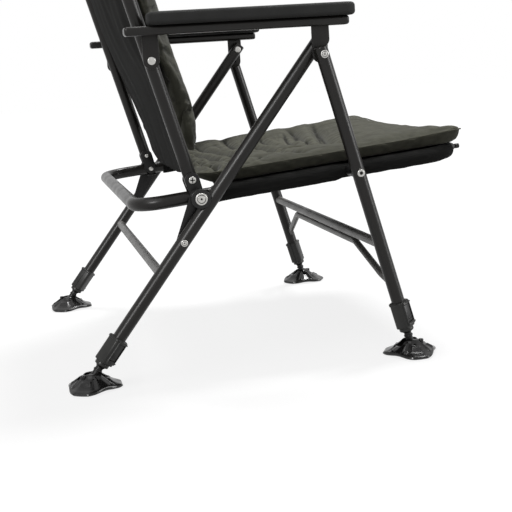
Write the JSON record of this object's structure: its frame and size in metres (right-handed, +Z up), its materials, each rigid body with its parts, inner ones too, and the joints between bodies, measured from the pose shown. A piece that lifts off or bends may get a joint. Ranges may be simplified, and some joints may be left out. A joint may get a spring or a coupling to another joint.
{
  "type": "folding fishing armchair",
  "caption": "High-back fishing armchair that folds flat, with a padded olive seat, telescopic legs with lever locks and swivelling feet.",
  "frame": {"origin": "on the ground at the centre of the chair's outline, with the feet on z = 0", "axes": "+Z up, +Y towards the rear, the sitter faces -Y and the sitter's right side is -X"},
  "size_m": [0.781, 0.7042, 0.9365],
  "materials": {
    "frame_tube": "satin",
    "cross_bar": "satin",
    "inner_leg": "satin",
    "bracket_steel": "satin",
    "zinc_bolt": "satin",
    "black_nylon": "matte",
    "lock_plastic": "satin",
    "foot_rubber": "satin",
    "frame_cloth": "matte",
    "olive_polyester": "matte",
    "arm_foam": "matte"
  },
  "bodies": {
    "seat": {"seat_front_loop": "frame_tube", "seat_rear_loop": "frame_tube", "seat_sleeve": "frame_cloth", "seat_sling": "frame_cloth", "seat_cushion": "olive_polyester", "back_bracket_r": "bracket_steel", "back_bracket_l": "bracket_steel", "link_bolt_r": "zinc_bolt", "link_bolt_l": "zinc_bolt", "link_bush_r": "black_nylon", "link_bush_l": "black_nylon", "back_bolt_r": "zinc_bolt", "back_bolt_l": "zinc_bolt", "leg_bolt_r": "zinc_bolt", "leg_bolt_l": "zinc_bolt", "leg_spacer_r": "black_nylon", "leg_spacer_l": "black_nylon"},
    "front_legs": {"front_leg_r": "frame_tube", "front_leg_l": "frame_tube", "front_cross_bar": "cross_bar", "front_brace": "cross_bar", "front_lock_r": "lock_plastic", "front_lock_l": "lock_plastic"},
    "rear_links": {"rear_link_r": "bracket_steel", "rear_link_l": "bracket_steel"},
    "rear_legs": {"rear_leg_r": "frame_tube", "rear_leg_l": "frame_tube", "rear_cross_bar": "cross_bar", "rear_lock_r": "lock_plastic", "rear_lock_l": "lock_plastic", "arm_leg_rivet_r": "zinc_bolt", "arm_leg_rivet_l": "zinc_bolt", "link_rivet_r": "zinc_bolt", "link_rivet_l": "zinc_bolt"},
    "back": {"back_frame": "frame_tube", "back_panel": "frame_cloth", "back_cushion": "olive_polyester", "head_pillow": "olive_polyester"},
    "arms": {"arm_rail_r": "frame_tube", "arm_rail_l": "frame_tube", "arm_pad_r": "arm_foam", "arm_pad_l": "arm_foam", "arm_front_bolt_r": "zinc_bolt", "arm_front_bolt_l": "zinc_bolt", "arm_back_pin_r": "zinc_bolt", "arm_back_pin_l": "zinc_bolt"},
    "front_lever_r": {"front_lever_r": "black_nylon"},
    "front_inner_leg_r": {"front_inner_leg_r": "inner_leg"},
    "front_foot_r": {"front_foot_r": "foot_rubber"},
    "front_lever_l": {"front_lever_l": "black_nylon"},
    "front_inner_leg_l": {"front_inner_leg_l": "inner_leg"},
    "front_foot_l": {"front_foot_l": "foot_rubber"},
    "rear_lever_r": {"rear_lever_r": "black_nylon"},
    "rear_inner_leg_r": {"rear_inner_leg_r": "inner_leg"},
    "rear_foot_r": {"rear_foot_r": "foot_rubber"},
    "rear_lever_l": {"rear_lever_l": "black_nylon"},
    "rear_inner_leg_l": {"rear_inner_leg_l": "inner_leg"},
    "rear_foot_l": {"rear_foot_l": "foot_rubber"}
  },
  "joints": [
    {"name": "fold", "type": "hinge", "parent": "seat", "child": "front_legs", "pos_m": [0, -0.1366, 0.31], "axis": [1, 0, 0], "range_deg": [0, 80], "deforming": ["seat_cushion"]},
    {"name": "back_fold", "type": "hinge", "parent": "seat", "child": "back", "pos_m": [0, 0.1272, 0.3161], "axis": [1, 0, 0], "range_deg": [0, 80], "deforming": ["back_cushion"]},
    {"name": "link_turn", "type": "hinge", "parent": "seat", "child": "rear_links", "pos_m": [0, 0.1196, 0.2882], "axis": [1, 0, 0], "range_deg": [-111, 0]},
    {"name": "rear_leg_turn", "type": "hinge", "parent": "rear_links", "child": "rear_legs", "pos_m": [0, 0.1514, 0.2207], "axis": [1, 0, 0], "range_deg": [0, 142.3]},
    {"name": "arm_turn", "type": "hinge", "parent": "front_legs", "child": "arms", "pos_m": [0, -0.08629, 0.5], "axis": [1, 0, 0], "range_deg": [-80, 0]},
    {"name": "front_extend_r", "type": "slide", "parent": "front_legs", "child": "front_inner_leg_r", "axis": [0, -0.256, -0.9667], "range_m": [0, 0.11]},
    {"name": "front_foot_tilt_r", "type": "hinge", "parent": "front_inner_leg_r", "child": "front_foot_r", "pos_m": [-0.342, -0.21391, 0.018], "axis": [1, 0, 0], "range_deg": [-10, 10]},
    {"name": "front_lever_press_r", "type": "hinge", "parent": "front_legs", "child": "front_lever_r", "pos_m": [-0.35218, -0.20635, 0.08634], "axis": [0.7071, -0.6836, 0.181], "range_deg": [0, 4], "stiffness_Nm_per_rad": 0.6},
    {"name": "front_extend_l", "type": "slide", "parent": "front_legs", "child": "front_inner_leg_l", "axis": [0, -0.256, -0.9667], "range_m": [0, 0.11]},
    {"name": "front_foot_tilt_l", "type": "hinge", "parent": "front_inner_leg_l", "child": "front_foot_l", "pos_m": [0.342, -0.21391, 0.018], "axis": [1, 0, 0], "range_deg": [-10, 10]},
    {"name": "front_lever_press_l", "type": "hinge", "parent": "front_legs", "child": "front_lever_l", "pos_m": [0.35218, -0.20635, 0.08634], "axis": [0.7071, 0.6836, -0.181], "range_deg": [0, 4], "stiffness_Nm_per_rad": 0.6},
    {"name": "rear_extend_r", "type": "slide", "parent": "rear_legs", "child": "rear_inner_leg_r", "axis": [0, 0.6221, -0.7829], "range_m": [0, 0.11]},
    {"name": "rear_foot_tilt_r", "type": "hinge", "parent": "rear_inner_leg_r", "child": "rear_foot_r", "pos_m": [-0.317, 0.31246, 0.018], "axis": [1, 0, 0], "range_deg": [-10, 10]},
    {"name": "rear_lever_press_r", "type": "hinge", "parent": "rear_legs", "child": "rear_lever_r", "pos_m": [-0.32718, 0.26219, 0.06491], "axis": [0.7071, -0.5536, -0.4399], "range_deg": [0, 4], "stiffness_Nm_per_rad": 0.6},
    {"name": "rear_extend_l", "type": "slide", "parent": "rear_legs", "child": "rear_inner_leg_l", "axis": [0, 0.6221, -0.7829], "range_m": [0, 0.11]},
    {"name": "rear_foot_tilt_l", "type": "hinge", "parent": "rear_inner_leg_l", "child": "rear_foot_l", "pos_m": [0.317, 0.31246, 0.018], "axis": [1, 0, 0], "range_deg": [-10, 10]},
    {"name": "rear_lever_press_l", "type": "hinge", "parent": "rear_legs", "child": "rear_lever_l", "pos_m": [0.32718, 0.26219, 0.06491], "axis": [0.7071, 0.5536, 0.4399], "range_deg": [0, 4], "stiffness_Nm_per_rad": 0.6}
  ],
  "couplings": [
    {"joint": "back_fold", "follows": "fold", "ratio": 1},
    {"joint": "link_turn", "follows": "fold", "ratio": -1.3875},
    {"joint": "rear_leg_turn", "follows": "fold", "ratio": 1.7788},
    {"joint": "arm_turn", "follows": "fold", "ratio": -1}
  ]
}
